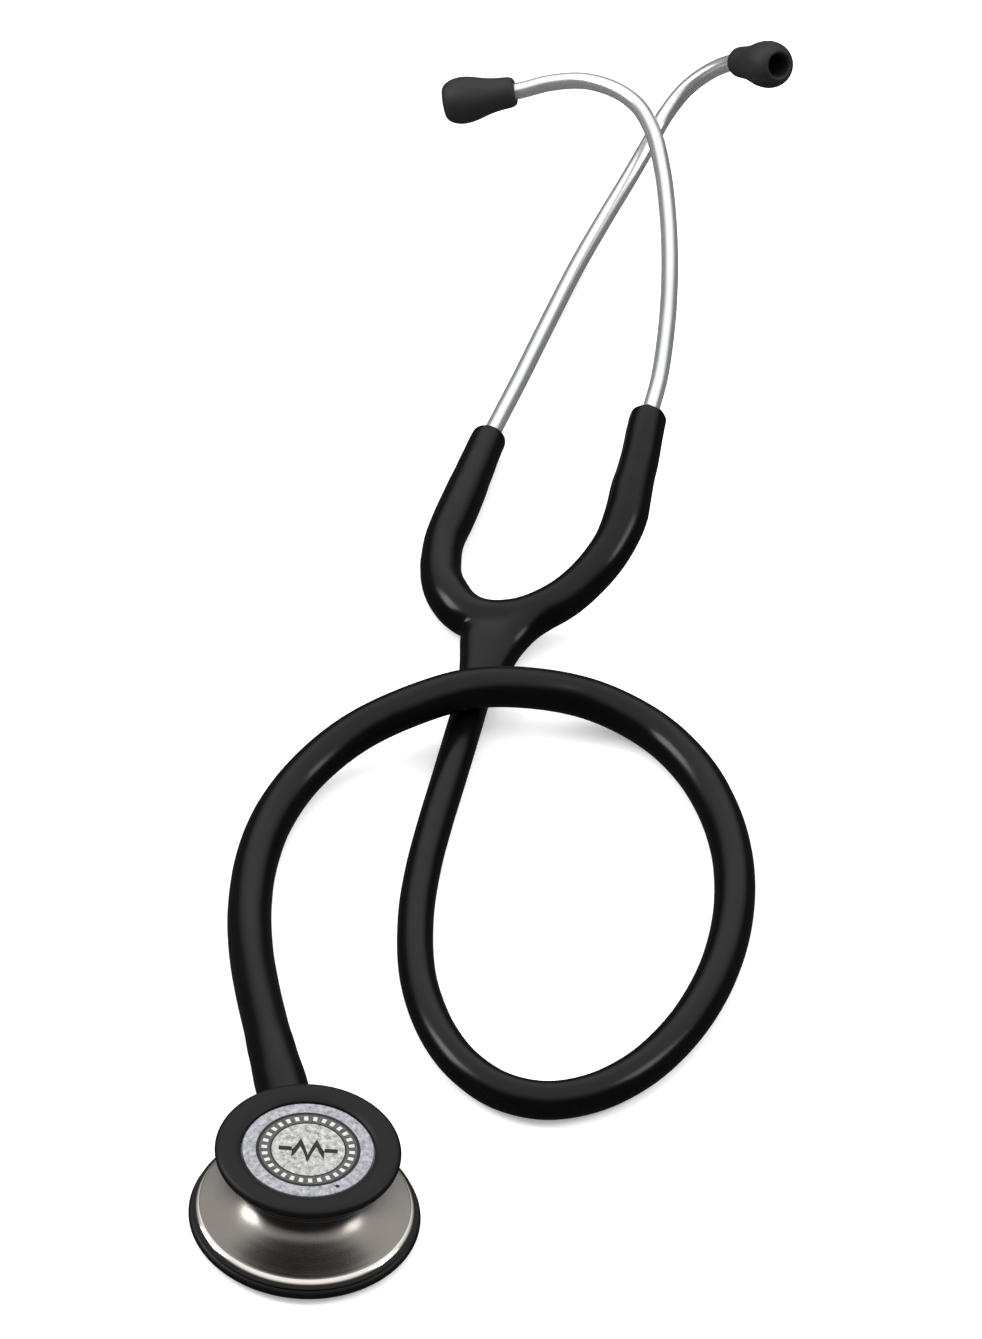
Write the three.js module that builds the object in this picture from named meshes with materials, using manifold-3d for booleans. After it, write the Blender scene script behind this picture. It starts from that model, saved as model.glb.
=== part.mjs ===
// Dual-sided stethoscope, lying on a flat surface with its tubing in one loop and its ear tubes crossed.
// Millimetres, +Z up. The origin is the centre of the large diaphragm's face, which rests on the surface.
// +Y runs from the chestpiece towards the headset.

import * as THREE from 'three';
import { mergeVertices } from 'three/addons/utils/BufferGeometryUtils.js';
import Module from 'manifold-3d';

// ---------- Driving dimensions ----------

const GAP = 0.3;                    // clearance kept between neighbouring pieces
const TURNED_SIDES = 32;            // facets round a large turned piece
const SMALL_SIDES = 16;             // facets round a small turned piece

// Tubing: one moulded lumen from the stem to the yoke.
const TUBE_RADIUS = 3.9;
const TUBE_SIDES = 8;
const TUBE_STEPS = 60;
const LUMEN_RADIUS = 1.8;

// Chestpiece: large side down, small side up.
const LARGE_RIM_RADIUS = 23.0;
const LARGE_FACE_RADIUS = 17.9;
const SMALL_RIM_RADIUS = 18.2;
const SMALL_FACE_RADIUS = 12.9;
const CHEST_HEIGHT = 20.8;
const WAIST_RADIUS = 10.6;

// Stem: it lies level through the waist and the tubing pushes on to its tail.
const STEM_HEIGHT = 10.8;
const STEM_YAW = THREE.MathUtils.degToRad(13.3);   // turned from +Y towards -X
const STEM_RADIUS = 3.0;
const STEM_BORE_RADIUS = STEM_RADIUS + GAP;
const STEM_END = 35.0;              // tip of the hose tail, from the chestpiece's axis
const TUBE_START = 19.0;            // face of the tubing, from the chestpiece's axis
const TAIL_BORE_RADIUS = 3.45;
const DETENT_AT = 5.2;              // the ball's place along the stem

// Yoke and ear tubes.
const NECK_RADIUS = 3.9;
const CROTCH_RADIUS = 4.3;
const ARM_RADIUS = 4.0;
const ARM_BORE_RADIUS = 2.35;
const ARM_LENGTH = 54.8;            // from the flexing point to the arm's rounded end
const KNUCKLE_RADIUS = 4.35;
const SOCKET_RADIUS = 4.75;
const EAR_TUBE_RADIUS = 1.85;
const EAR_TUBE_BORE = 1.2;
const EAR_TUBE_GRIP = 15.0;         // length held inside the arm
const SPRING_WIDTH = 3.0;
const SPRING_THICKNESS = 0.4;
const SPRING_OFFSET = 2.9;          // from the yoke's centre line towards the crotch

// Ear tip.
const TIP_LENGTH = 16.8;
const TIP_BORE_RADIUS = 2.6;
const TIP_SEAT = 11.0;              // depth of the bore that takes the ear tube
const TUBE_IN_TIP = 10.4;
const RIDGE_RADIUS = 2.2;

// Centre line of the tubing, from the stem round the loop, over its own end and on to the yoke's neck.
const TUBING_ROUTE = [
  [-4.4, 18.5, 10.8], [-6.6, 27.1, 10.8], [-8.7, 35.4, 10.7], [-10.8, 44.8, 9.8], [-13.2, 57.0, 8.0],
  [-15.2, 70.0, 6.0], [-16.3, 84.0, 4.7], [-15.8, 98.0, 4.4], [-13.1, 111.6, 4.5], [-7.3, 124.3, 5.5],
  [1.8, 134.5, 8.0], [12.9, 141.0, 10.8], [25.3, 146.3, 12.2], [38.0, 149.5, 10.6], [50.9, 151.1, 6.9],
  [62.8, 146.4, 4.5], [71.6, 136.3, 4.2], [77.4, 124.1, 4.2], [80.9, 110.2, 4.2], [81.8, 95.4, 4.1],
  [80.3, 80.9, 4.1], [76.7, 67.4, 4.1], [71.1, 55.1, 4.0], [63.6, 44.6, 4.0], [54.8, 37.6, 4.0],
  [45.6, 34.8, 4.0], [36.8, 36.7, 4.0], [29.6, 42.5, 4.0], [24.5, 50.1, 4.0], [20.6, 60.0, 4.0],
  [18.3, 70.5, 4.0], [17.4, 86.1, 4.0], [18.2, 100.1, 4.0], [19.8, 112.9, 4.0], [21.8, 125.9, 4.0],
  [23.7, 138.5, 4.0], [25.9, 153.5, 4.0],
];

// The yoke's neck, from the tubing to the bottom of the crotch.
const NECK_ROUTE = [[26.0, 153.8, 4.0], [27.0, 158.2, 4.1], [28.0, 162.6, 4.3], [28.7, 168.0, 4.5], [28.9, 176.2, 4.8]];
const CROTCH_BOTTOM = [28.9, 176.2, 4.8];

// Each side's centre line: the flexing point at the yoke, the arm, the ear tube and the ear tip's two ends.
const LEFT_ROUTE = [
  [19.7, 182.3, 4.5], [17.5, 188.1, 4.5], [17.0, 194.5, 4.5], [17.4, 200.9, 4.5], [18.8, 207.2, 4.5],
  [20.3, 213.6, 4.4], [21.7, 219.9, 4.3], [23.2, 226.7, 4.2], [24.7, 233.4, 4.1], [26.9, 241.6, 3.9],
  [30.8, 256.0, 3.4], [36.2, 276.9, 2.8], [41.7, 296.6, 2.8], [47.1, 312.3, 3.9], [51.4, 323.2, 5.6],
  [55.5, 332.5, 8.6], [59.2, 339.6, 12.6], [63.4, 343.8, 16.8], [68.5, 344.8, 21.4], [73.6, 342.8, 25.9],
];
const LEFT_TIP_END = [82.8, 331.7, 34.5];
const RIGHT_ROUTE = [
  [41.4, 178.2, 8.8], [45.4, 181.2, 10.4], [49.8, 186.1, 12.8], [53.0, 191.7, 14.8], [55.1, 198.4, 16.7],
  [56.0, 205.7, 18.2], [57.3, 213.9, 19.6], [58.1, 221.7, 20.8], [59.2, 229.0, 21.5], [60.5, 238.0, 22.0],
  [61.5, 256.0, 21.7], [61.6, 271.8, 21.0], [61.1, 285.8, 20.7], [60.2, 297.7, 20.6], [58.8, 309.6, 20.7],
  [56.2, 322.7, 20.8], [52.4, 331.9, 20.5], [47.1, 337.8, 19.8], [40.2, 341.9, 18.2], [33.0, 343.2, 15.9],
  [26.4, 342.9, 13.4],
];
const RIGHT_TIP_END = [10.1, 342.2, 8.9];

// ---------- Materials ----------

function finish(color, roughness, metalness) {
  return new THREE.MeshStandardMaterial({ color, roughness, metalness });
}

const materials = {
  pvc: finish(0x141516, 0.42, 0.0),
  rimRubber: finish(0x1a1a1c, 0.55, 0.0),
  tipSilicone: finish(0x2b2c2e, 0.7, 0.0),
  sealRubber: finish(0x101010, 0.7, 0.0),
  stainless: finish(0x9c958b, 0.28, 1.0),
  chrome: finish(0xb9bbbd, 0.18, 1.0),
  aluminium: finish(0xc9cbce, 0.3, 1.0),
  springSteel: finish(0x7f8286, 0.35, 1.0),
  silverFace: finish(0xa9abb2, 0.5, 0.2),
  darkFace: finish(0x3a3b3e, 0.35, 0.0),
};

// ---------- Solids ----------

const wasm = await Module();
wasm.setup();

function toSolid(geometry) {
  const bare = geometry.clone();
  bare.deleteAttribute('normal');
  bare.deleteAttribute('uv');
  const merged = mergeVertices(bare, 1e-4);
  const vertProperties = new Float32Array(merged.attributes.position.array);
  const triVerts = new Uint32Array(merged.index.array);
  return new wasm.Manifold(new wasm.Mesh({ numProp: 3, vertProperties, triVerts }));
}

function toGeometry(solid) {
  const mesh = solid.getMesh();
  const geometry = new THREE.BufferGeometry();
  geometry.setAttribute('position', new THREE.BufferAttribute(new Float32Array(mesh.vertProperties), 3));
  geometry.setIndex(new THREE.BufferAttribute(new Uint32Array(mesh.triVerts), 1));
  const faceted = geometry.toNonIndexed();
  faceted.computeVertexNormals();
  return faceted;
}

// Joins the first list of geometries and cuts the second list away.
function shaped(joined, removed) {
  let solid = joined.map(toSolid).reduce((whole, piece) => whole.add(piece));
  for (const geometry of removed) {
    solid = solid.subtract(toSolid(geometry));
  }
  return toGeometry(solid);
}

// A turned piece about +Z. The profile is [radius, height] and goes up its outer side.
function turned(profile, sides) {
  const points = profile.map(([radius, height]) => new THREE.Vector2(radius, height));
  return new THREE.LatheGeometry(points, sides).rotateX(Math.PI / 2);
}

// A plain bar about +Z, from one height to another.
function bar(radius, from, to, sides = SMALL_SIDES) {
  return turned([[0, from], [radius, from], [radius, to], [0, to]], sides);
}

function polygon(radius, sides) {
  const corners = [];
  for (let side = 0; side < sides; side += 1) {
    const angle = (side / sides) * 2 * Math.PI;
    corners.push(new THREE.Vector2(radius * Math.cos(angle), radius * Math.sin(angle)));
  }
  return corners;
}

// A round rod or pipe that follows a curve.
function swept(curve, radius, sides, steps, bore = 0) {
  const section = new THREE.Shape(polygon(radius, sides));
  if (bore > 0) {
    section.holes.push(new THREE.Path(polygon(bore, sides)));
  }
  return new THREE.ExtrudeGeometry(section, { steps, bevelEnabled: false, extrudePath: curve });
}

function vector([x, y, z]) {
  return new THREE.Vector3(x, y, z);
}

function smoothCurve(points) {
  return new THREE.CatmullRomCurve3(points, false, 'centripetal');
}

// A stretch of a longer curve, given by distances along it.
class Stretch extends THREE.Curve {
  constructor(whole, from, to) {
    super();
    this.whole = whole;
    this.from = from / whole.getLength();
    this.to = to / whole.getLength();
  }

  getPoint(t, target = new THREE.Vector3()) {
    return this.whole.getPointAt(this.from + (this.to - this.from) * t, target);
  }
}

// A coil spring's wire, wound about +Z.
class Helix extends THREE.Curve {
  constructor(radius, height, turns) {
    super();
    this.radius = radius;
    this.height = height;
    this.turns = turns;
  }

  getPoint(t, target = new THREE.Vector3()) {
    const angle = t * this.turns * 2 * Math.PI;
    return target.set(this.radius * Math.cos(angle), this.radius * Math.sin(angle), t * this.height);
  }
}

const stethoscope = new THREE.Group();

function place(name, geometry, material, parent = stethoscope) {
  const mesh = new THREE.Mesh(geometry, material);
  mesh.name = name;
  parent.add(mesh);
  return mesh;
}

// A group whose own axes are the three given directions.
function frameGroup(origin, xAxis, yAxis, zAxis) {
  const group = new THREE.Group();
  group.applyMatrix4(new THREE.Matrix4().makeBasis(xAxis, yAxis, zAxis).setPosition(origin));
  stethoscope.add(group);
  return group;
}

// ---------- Stem line: +Z runs out along the stem, +Y points down, +X to the side ----------

const stemWay = new THREE.Vector3(-Math.sin(STEM_YAW), Math.cos(STEM_YAW), 0);
const sideWay = new THREE.Vector3(Math.cos(STEM_YAW), Math.sin(STEM_YAW), 0);
const downWay = new THREE.Vector3(0, 0, -1);
const stemOrigin = new THREE.Vector3(0, 0, STEM_HEIGHT);
const stemLine = frameGroup(stemOrigin, sideWay, downWay, stemWay);

function alongStem(geometry) {
  stemLine.updateMatrix();
  return geometry.clone().applyMatrix4(stemLine.matrix);
}

// ---------- Chestpiece body: one turned stainless piece with a boss for the stem ----------

const SEAT_LARGE = 1.6;             // face that the large diaphragm's edge works under
const SEAT_SMALL = 18.3;
const BALL_RADIUS = 1.0;
const BALL_AT = 3.75;               // the ball's centre, from the stem's axis
const SPRING_FROM = 4.95;
const SPRING_TO = 6.65;
const SCREW_FROM = 7.0;
const SCREW_TO = 9.2;
const SCREW_RADIUS = 1.5;

function chestpieceBody() {
  const profile = [
    [0, 4.6], [6, 4.4], [12, 3.4], [17.6, 1.9], [18.9, SEAT_LARGE], [20.3, SEAT_LARGE], [20.3, 2.1],
    [19.7, 2.2], [19.7, 3.3], [21.6, 3.3], [22.0, 3.7], [22.0, 4.5], [21.5, 5.1], [20.4, 5.3],
    [17.6, 6.0], [14.8, 7.0], [12.4, 8.4], [11.1, 9.9], [WAIST_RADIUS, 11.4], [11.0, 13.0],
    [12.6, 14.6], [14.6, 15.5], [16.0, 16.0], [16.5, 16.4], [16.5, 17.0], [14.5, 17.05], [14.5, 17.8],
    [15.0, 17.9], [15.0, SEAT_SMALL], [13.7, SEAT_SMALL], [10.0, 17.0], [5.0, 15.9], [0, 15.6],
  ];
  const boss = alongStem(bar(5.0, 5.0, 13.0, 24));
  const stemBore = alongStem(bar(STEM_BORE_RADIUS, -5.0, 26.0, 24));
  const ringGroove = alongStem(bar(4.1, 7.0, 8.4, 24));
  const largePort = bar(1.3, 3.0, 8.6, 12);
  const smallPort = bar(1.3, 13.0, 17.0, 12);
  const ballBore = alongStem(bar(BALL_RADIUS + GAP, 2.0, 7.0, 12).rotateY(Math.PI / 2).translate(0, 0, DETENT_AT));
  const screwBore = alongStem(
    bar(SCREW_RADIUS + GAP, SCREW_FROM - 0.2, 14.0, 12).rotateY(Math.PI / 2).translate(0, 0, DETENT_AT));
  return shaped([turned(profile, TURNED_SIDES), boss],
    [stemBore, ringGroove, largePort, smallPort, ballBore, screwBore]);
}

place('chestpiece_body', chestpieceBody(), materials.stainless);

// ---------- Rims and diaphragms ----------

// Soft rims hook over the body's edge and carry a lip that holds the diaphragm in.
place('large_rim', turned([
  [18.35, 0], [21.7, 0], [22.6, 0.4], [LARGE_RIM_RADIUS, 1.2], [22.9, 2.3], [22.4, 3.0], [20.05, 3.0],
  [20.05, 2.5], [20.65, 2.3], [20.65, 0.45], [18.55, 0.45], [18.35, 0],
], TURNED_SIDES), materials.rimRubber);

place('small_rim', turned([
  [14.85, 17.35], [16.5, 17.35], [17.2, 17.8], [17.8, 18.4], [18.1, 19.1], [SMALL_RIM_RADIUS, 19.7],
  [17.9, 20.3], [17.0, 20.7], [15.6, CHEST_HEIGHT], [14.2, 20.65], [13.5, 20.35], [13.15, 20.0],
  [13.15, 19.5], [15.3, 19.5], [15.3, 17.75], [14.85, 17.6], [14.85, 17.35],
], TURNED_SIDES), materials.rimRubber);

// Stepped discs: the edge floats between the rim's lip and the seat, so the face moves when it is pressed.
place('large_diaphragm', turned([
  [0, 0], [LARGE_FACE_RADIUS, 0], [18.05, 0.2], [18.05, 0.75], [20.2, 0.75], [20.2, 1.1], [17.5, 1.1],
  [17.2, 0.8], [0, 0.8],
], TURNED_SIDES), materials.darkFace);

place('small_diaphragm', turned([
  [0, 19.5], [12.4, 19.5], [12.7, 18.8], [14.75, 18.8], [14.75, 19.2], [SMALL_FACE_RADIUS, 19.2],
  [SMALL_FACE_RADIUS, 20.0], [12.75, 20.1], [0, 20.1],
], TURNED_SIDES), materials.silverFace);

// ---------- Stem, seals, retaining ring and detent ----------

function stem() {
  const outline = [
    [0, -4.6], [STEM_RADIUS, -4.6], [STEM_RADIUS, -3.5], [2.3, -3.5], [2.3, -2.3], [STEM_RADIUS, -2.3],
    [STEM_RADIUS, 2.3], [2.3, 2.3], [2.3, 3.5], [STEM_RADIUS, 3.5], [STEM_RADIUS, 4.0], [2.4, 4.3],
    [2.4, 6.1], [STEM_RADIUS, 6.4], [STEM_RADIUS, 7.2], [2.2, 7.2], [2.2, 8.2], [STEM_RADIUS, 8.2],
    [STEM_RADIUS, 15.4], [3.6, 15.7], [3.6, 17.0], [STEM_RADIUS, 17.3], [STEM_RADIUS, 18.4], [2.6, 18.8],
  ];
  // Three hose barbs, each a ramp and a step.
  for (const barb of [21.0, 25.0, 29.0]) {
    outline.push([2.6, barb], [3.1, barb + 0.3], [2.6, barb + 2.4]);
  }
  outline.push([2.6, STEM_END - 0.6], [2.1, STEM_END], [0, STEM_END]);
  const lumen = bar(1.4, 0, STEM_END + 1, 12);
  const port = bar(1.3, 0, 5, 12).rotateX(-Math.PI / 2);
  return shaped([turned(outline, SMALL_SIDES)], [lumen, port]);
}

place('stem', stem(), materials.chrome, stemLine);

const sealProfile = [[2.6, -0.3], [2.8, -0.35], [3.0, -0.2], [3.05, 0], [3.0, 0.2], [2.8, 0.35], [2.6, 0.3], [2.55, 0], [2.6, -0.3]];
place('stem_seal_inner', turned(sealProfile, SMALL_SIDES), materials.sealRubber, stemLine).position.z = -2.9;
place('stem_seal_outer', turned(sealProfile, SMALL_SIDES), materials.sealRubber, stemLine).position.z = 2.9;

// An open ring, so that it can be sprung into the groove.
function retainingRing() {
  const ring = turned([[2.5, -0.25], [3.7, -0.25], [3.7, 0.25], [2.5, 0.25], [2.5, -0.25]], 24);
  const opening = new THREE.BoxGeometry(1.4, 4.0, 2.0).translate(0, -3.4, 0);
  return shaped([ring], [opening]);
}

place('stem_retaining_ring', retainingRing(), materials.springSteel, stemLine).position.z = 7.7;

place('detent_ball', new THREE.SphereGeometry(BALL_RADIUS, 10, 6), materials.springSteel, stemLine)
  .position.set(BALL_AT, 0, DETENT_AT);

const detentSpring = place('detent_spring', swept(new Helix(0.7, SPRING_TO - SPRING_FROM, 3.5), 0.16, 5, 30),
  materials.springSteel, stemLine);
detentSpring.rotation.y = Math.PI / 2;
detentSpring.position.set(SPRING_FROM + 0.1, 0, DETENT_AT);

function setScrew() {
  const socket = new THREE.CylinderGeometry(0.8, 0.8, 1.4, 6).rotateX(Math.PI / 2).translate(0, 0, SCREW_TO);
  return shaped([bar(SCREW_RADIUS, SCREW_FROM, SCREW_TO, 16)], [socket]).rotateY(Math.PI / 2);
}

place('detent_set_screw', setScrew(), materials.springSteel, stemLine).position.z = DETENT_AT;

// ---------- Tubing ----------

function tubing() {
  const curve = smoothCurve(TUBING_ROUTE.map(vector));
  const tailBore = alongStem(bar(TAIL_BORE_RADIUS, TUBE_START - 2, STEM_END + 1.4, 16));
  // The hose is thicker where it takes the stem's tail.
  const cuff = alongStem(turned([[0, TUBE_START], [5.1, TUBE_START], [5.1, 25.0], [4.6, 32.0], [4.2, 38.0], [3.6, 41.0], [0, 41.0]], 16));
  return shaped([swept(curve, TUBE_RADIUS, TUBE_SIDES, TUBE_STEPS), cuff], [tailBore]);
}

place('tubing', tubing(), materials.pvc);

// ---------- Yoke: the moulded fork, its steel spring and its two flexible arms ----------

const leftRoot = vector(LEFT_ROUTE[0]);
const rightRoot = vector(RIGHT_ROUTE[0]);
const forkBottom = vector(CROTCH_BOTTOM);

// The fork's own plane holds both flexing points and the bottom of the crotch.
const forkX = rightRoot.clone().sub(leftRoot).normalize();
const forkZ = forkX.clone().cross(leftRoot.clone().sub(forkBottom)).normalize();
const forkY = forkZ.clone().cross(forkX);
const forkMiddle = leftRoot.clone().add(rightRoot).multiplyScalar(0.5);
const fork = frameGroup(forkMiddle, forkX, forkY, forkZ);

// The circle through the three points, in the fork's plane.
const halfSpan = leftRoot.distanceTo(rightRoot) / 2;
const bottomLocal = forkBottom.clone().sub(forkMiddle);
const bottomX = bottomLocal.dot(forkX);
const bottomY = bottomLocal.dot(forkY);
const forkCentreY = (bottomX ** 2 + bottomY ** 2 - halfSpan ** 2) / (2 * bottomY);
const forkRadius = Math.hypot(halfSpan, forkCentreY);
const forkHalfAngle = Math.asin(halfSpan / forkRadius);

// An arc about the fork's centre, below the line between the flexing points.
function forkArc(radius, halfAngle) {
  const points = [];
  const pieces = 12;
  for (let piece = 0; piece <= pieces; piece += 1) {
    const angle = -Math.PI / 2 + halfAngle * ((2 * piece) / pieces - 1);
    points.push(new THREE.Vector3(radius * Math.cos(angle), forkCentreY + radius * Math.sin(angle), 0));
  }
  return smoothCurve(points);
}

function flatStrip(width, thickness, halfAngle) {
  const section = new THREE.Shape([
    new THREE.Vector2(-width / 2, -thickness / 2), new THREE.Vector2(width / 2, -thickness / 2),
    new THREE.Vector2(width / 2, thickness / 2), new THREE.Vector2(-width / 2, thickness / 2),
  ]);
  const path = forkArc(forkRadius - SPRING_OFFSET, halfAngle);
  return new THREE.ExtrudeGeometry(section, { steps: 10, bevelEnabled: false, extrudePath: path });
}

function inWorld(geometry, group) {
  group.updateMatrix();
  return geometry.clone().applyMatrix4(group.matrix);
}

function yokeBody() {
  const crotch = inWorld(swept(forkArc(forkRadius, forkHalfAngle), CROTCH_RADIUS, 12, 12), fork);
  const neckCurve = smoothCurve(NECK_ROUTE.map(vector));
  const neck = swept(neckCurve, NECK_RADIUS, 12, 6);
  // The neck widens into the crotch as a flattened cone.
  const throat = turned([[0, 0], [3.9, 0], [5.0, 8.0], [6.7, 15.0], [7.6, 20.0], [0, 20.0]], 16).scale(1, 0.56, 1);
  throat.rotateX(-Math.PI / 2).rotateZ(-0.09).translate(26.8, 154.6, 4.4);
  const crotchLumen = inWorld(swept(forkArc(forkRadius, forkHalfAngle), LUMEN_RADIUS, 8, 12), fork);
  const neckLumen = swept(neckCurve, LUMEN_RADIUS, 8, 6);
  const neckMouth = bar(LUMEN_RADIUS, -2, 2, 8).rotateX(-Math.PI / 2).translate(26.0, 153.8, 4.0);
  const slot = inWorld(flatStrip(SPRING_WIDTH + 2 * GAP, SPRING_THICKNESS + 2 * GAP, forkHalfAngle), fork);
  const sockets = [leftRoot, rightRoot].map(
    (root) => new THREE.SphereGeometry(SOCKET_RADIUS, 16, 10).translate(root.x, root.y, root.z));
  return shaped([crotch, neck, throat], [crotchLumen, neckLumen, neckMouth, slot, ...sockets]);
}

place('yoke_body', yokeBody(), materials.pvc);

// The spring stops short of both flexing points, inside its slot.
const springHalfAngle = forkHalfAngle - (SOCKET_RADIUS + 0.4) / forkRadius;
place('yoke_spring', flatStrip(SPRING_WIDTH, SPRING_THICKNESS, springHalfAngle), materials.springSteel, fork);

function yokeArm(route) {
  const root = vector(route[0]);
  const whole = smoothCurve(route.map(vector));
  const rise = whole.getTangentAt(0);
  const arm = swept(new Stretch(whole, 0, ARM_LENGTH), ARM_RADIUS, 12, 12);
  const knuckle = new THREE.SphereGeometry(KNUCKLE_RADIUS, 16, 10).translate(root.x, root.y, root.z);
  const bore = swept(new Stretch(whole, 0, ARM_LENGTH + 3), ARM_BORE_RADIUS, 8, 14);
  const lead = bar(ARM_BORE_RADIUS, -6, 1, 8);
  lead.applyQuaternion(new THREE.Quaternion().setFromUnitVectors(new THREE.Vector3(0, 0, 1), rise));
  lead.translate(root.x, root.y, root.z);
  return shaped([arm, knuckle], [bore, lead]);
}

place('yoke_arm_left', yokeArm(LEFT_ROUTE), materials.pvc);
place('yoke_arm_right', yokeArm(RIGHT_ROUTE), materials.pvc);

// ---------- Ear tubes and ear tips ----------

// The side's whole line: its route, then straight on along the ear tip's axis.
function sideCurve(route, tipEnd) {
  const points = route.map(vector);
  const base = points[points.length - 1];
  const end = vector(tipEnd);
  for (const share of [1 / 3, 2 / 3, 1]) {
    points.push(base.clone().lerp(end, share));
  }
  return smoothCurve(points);
}

function earTube(route, tipEnd) {
  const whole = sideCurve(route, tipEnd);
  const reach = whole.getLength() - TIP_LENGTH + TUBE_IN_TIP;
  const pipe = swept(new Stretch(whole, ARM_LENGTH - EAR_TUBE_GRIP, reach), EAR_TUBE_RADIUS, 8, 34, EAR_TUBE_BORE);
  // A low ridge near the end holds the ear tip on.
  const way = vector(tipEnd).sub(vector(route[route.length - 1])).normalize();
  const ridge = turned([
    [1.5, 0], [EAR_TUBE_RADIUS, 0], [RIDGE_RADIUS, 0.4], [RIDGE_RADIUS, 0.9], [EAR_TUBE_RADIUS, 1.6], [1.5, 1.6], [1.5, 0],
  ], 10);
  ridge.applyQuaternion(new THREE.Quaternion().setFromUnitVectors(new THREE.Vector3(0, 0, 1), way));
  const seat = vector(tipEnd).addScaledVector(way, TUBE_IN_TIP - TIP_LENGTH - 2.4);
  ridge.translate(seat.x, seat.y, seat.z);
  return shaped([pipe, ridge], []);
}

place('ear_tube_left', earTube(LEFT_ROUTE, LEFT_TIP_END), materials.aluminium);
place('ear_tube_right', earTube(RIGHT_ROUTE, RIGHT_TIP_END), materials.aluminium);

// A soft mushroom-shaped tip with a flared mouth.
function earTip(tipEnd, route) {
  const outline = [
    [TIP_BORE_RADIUS, 0], [3.1, 0.2], [3.45, 1.0], [3.65, 2.4], [3.75, 4.4], [3.95, 6.2], [4.4, 8.2],
    [4.95, 10.2], [5.2, 12.0], [5.15, 13.6], [4.7, 15.2], [3.9, 16.4], [3.2, TIP_LENGTH],
    [2.9, 16.6], [2.2, 15.4], [1.9, 13.4], [1.9, TIP_SEAT], [TIP_BORE_RADIUS, TIP_SEAT], [TIP_BORE_RADIUS, 0],
  ];
  const way = vector(tipEnd).sub(vector(route[route.length - 1])).normalize();
  const base = vector(tipEnd).addScaledVector(way, -TIP_LENGTH);
  const tip = turned(outline, 16);
  tip.applyQuaternion(new THREE.Quaternion().setFromUnitVectors(new THREE.Vector3(0, 0, 1), way));
  return tip.translate(base.x, base.y, base.z);
}

place('ear_tip_left', earTip(LEFT_TIP_END, LEFT_ROUTE), materials.tipSilicone);
place('ear_tip_right', earTip(RIGHT_TIP_END, RIGHT_ROUTE), materials.tipSilicone);

export default stethoscope;
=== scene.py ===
import math

import bpy
from mathutils import Matrix, Vector


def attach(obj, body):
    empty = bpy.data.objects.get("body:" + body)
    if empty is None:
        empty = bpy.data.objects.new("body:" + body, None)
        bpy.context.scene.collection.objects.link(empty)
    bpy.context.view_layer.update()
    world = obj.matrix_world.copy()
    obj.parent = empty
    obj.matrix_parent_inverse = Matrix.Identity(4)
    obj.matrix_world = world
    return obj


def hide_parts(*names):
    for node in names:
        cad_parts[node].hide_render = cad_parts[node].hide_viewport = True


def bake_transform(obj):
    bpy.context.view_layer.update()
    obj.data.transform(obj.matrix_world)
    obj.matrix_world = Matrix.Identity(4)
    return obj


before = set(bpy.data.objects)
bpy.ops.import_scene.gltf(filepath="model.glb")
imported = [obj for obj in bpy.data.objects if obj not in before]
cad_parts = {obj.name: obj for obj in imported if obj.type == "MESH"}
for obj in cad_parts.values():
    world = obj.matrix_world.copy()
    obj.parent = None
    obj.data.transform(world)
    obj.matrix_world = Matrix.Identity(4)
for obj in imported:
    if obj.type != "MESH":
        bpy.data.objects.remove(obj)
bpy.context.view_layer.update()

# ---------------------------------------------------------------------------
# Tubing. One black PVC hose, extruded and cured, a little thicker at the
# chestpiece than at the yoke. It is pushed on to the stem's barbed tail and
# lies in one loop that passes over its own upper end.

# The route runs from the stem to the yoke, in millimetres.
TUBING_ROUTE = [
    (-4.4, 18.5, 10.8), (-6.6, 27.1, 10.8), (-8.7, 35.4, 10.7), (-10.8, 44.8, 9.8), (-13.2, 57.0, 8.0),
    (-15.2, 70.0, 6.0), (-16.3, 84.0, 4.7), (-15.8, 98.0, 4.4), (-13.1, 111.6, 4.5), (-7.3, 124.3, 5.5),
    (1.8, 134.5, 8.0), (12.9, 141.0, 10.8), (25.3, 146.3, 12.2), (38.0, 149.5, 10.6), (50.9, 151.1, 6.9),
    (62.8, 146.4, 4.5), (71.6, 136.3, 4.2), (77.4, 124.1, 4.2), (80.9, 110.2, 4.2), (81.8, 95.4, 4.1),
    (80.3, 80.9, 4.1), (76.7, 67.4, 4.1), (71.1, 55.1, 4.0), (63.6, 44.6, 4.0), (54.8, 37.6, 4.0),
    (45.6, 34.8, 4.0), (36.8, 36.7, 4.0), (29.6, 42.5, 4.0), (24.5, 50.1, 4.0), (20.6, 60.0, 4.0),
    (18.3, 70.5, 4.0), (17.4, 86.1, 4.0), (18.2, 100.1, 4.0), (19.8, 112.9, 4.0), (21.8, 125.9, 4.0),
    (23.7, 138.5, 4.0), (25.9, 153.5, 4.0),
]
TUBING_RADII = [
    (0.0, 5.3), (0.02, 5.25), (0.04, 4.85), (0.06, 4.55), (0.11, 4.53), (0.18, 4.42), (0.25, 4.27),
    (0.45, 4.32), (0.52, 4.22), (0.6, 4.12), (0.7, 3.95), (0.76, 3.82), (0.84, 3.69), (0.9, 3.62),
    (1.0, 3.65),
]


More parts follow.
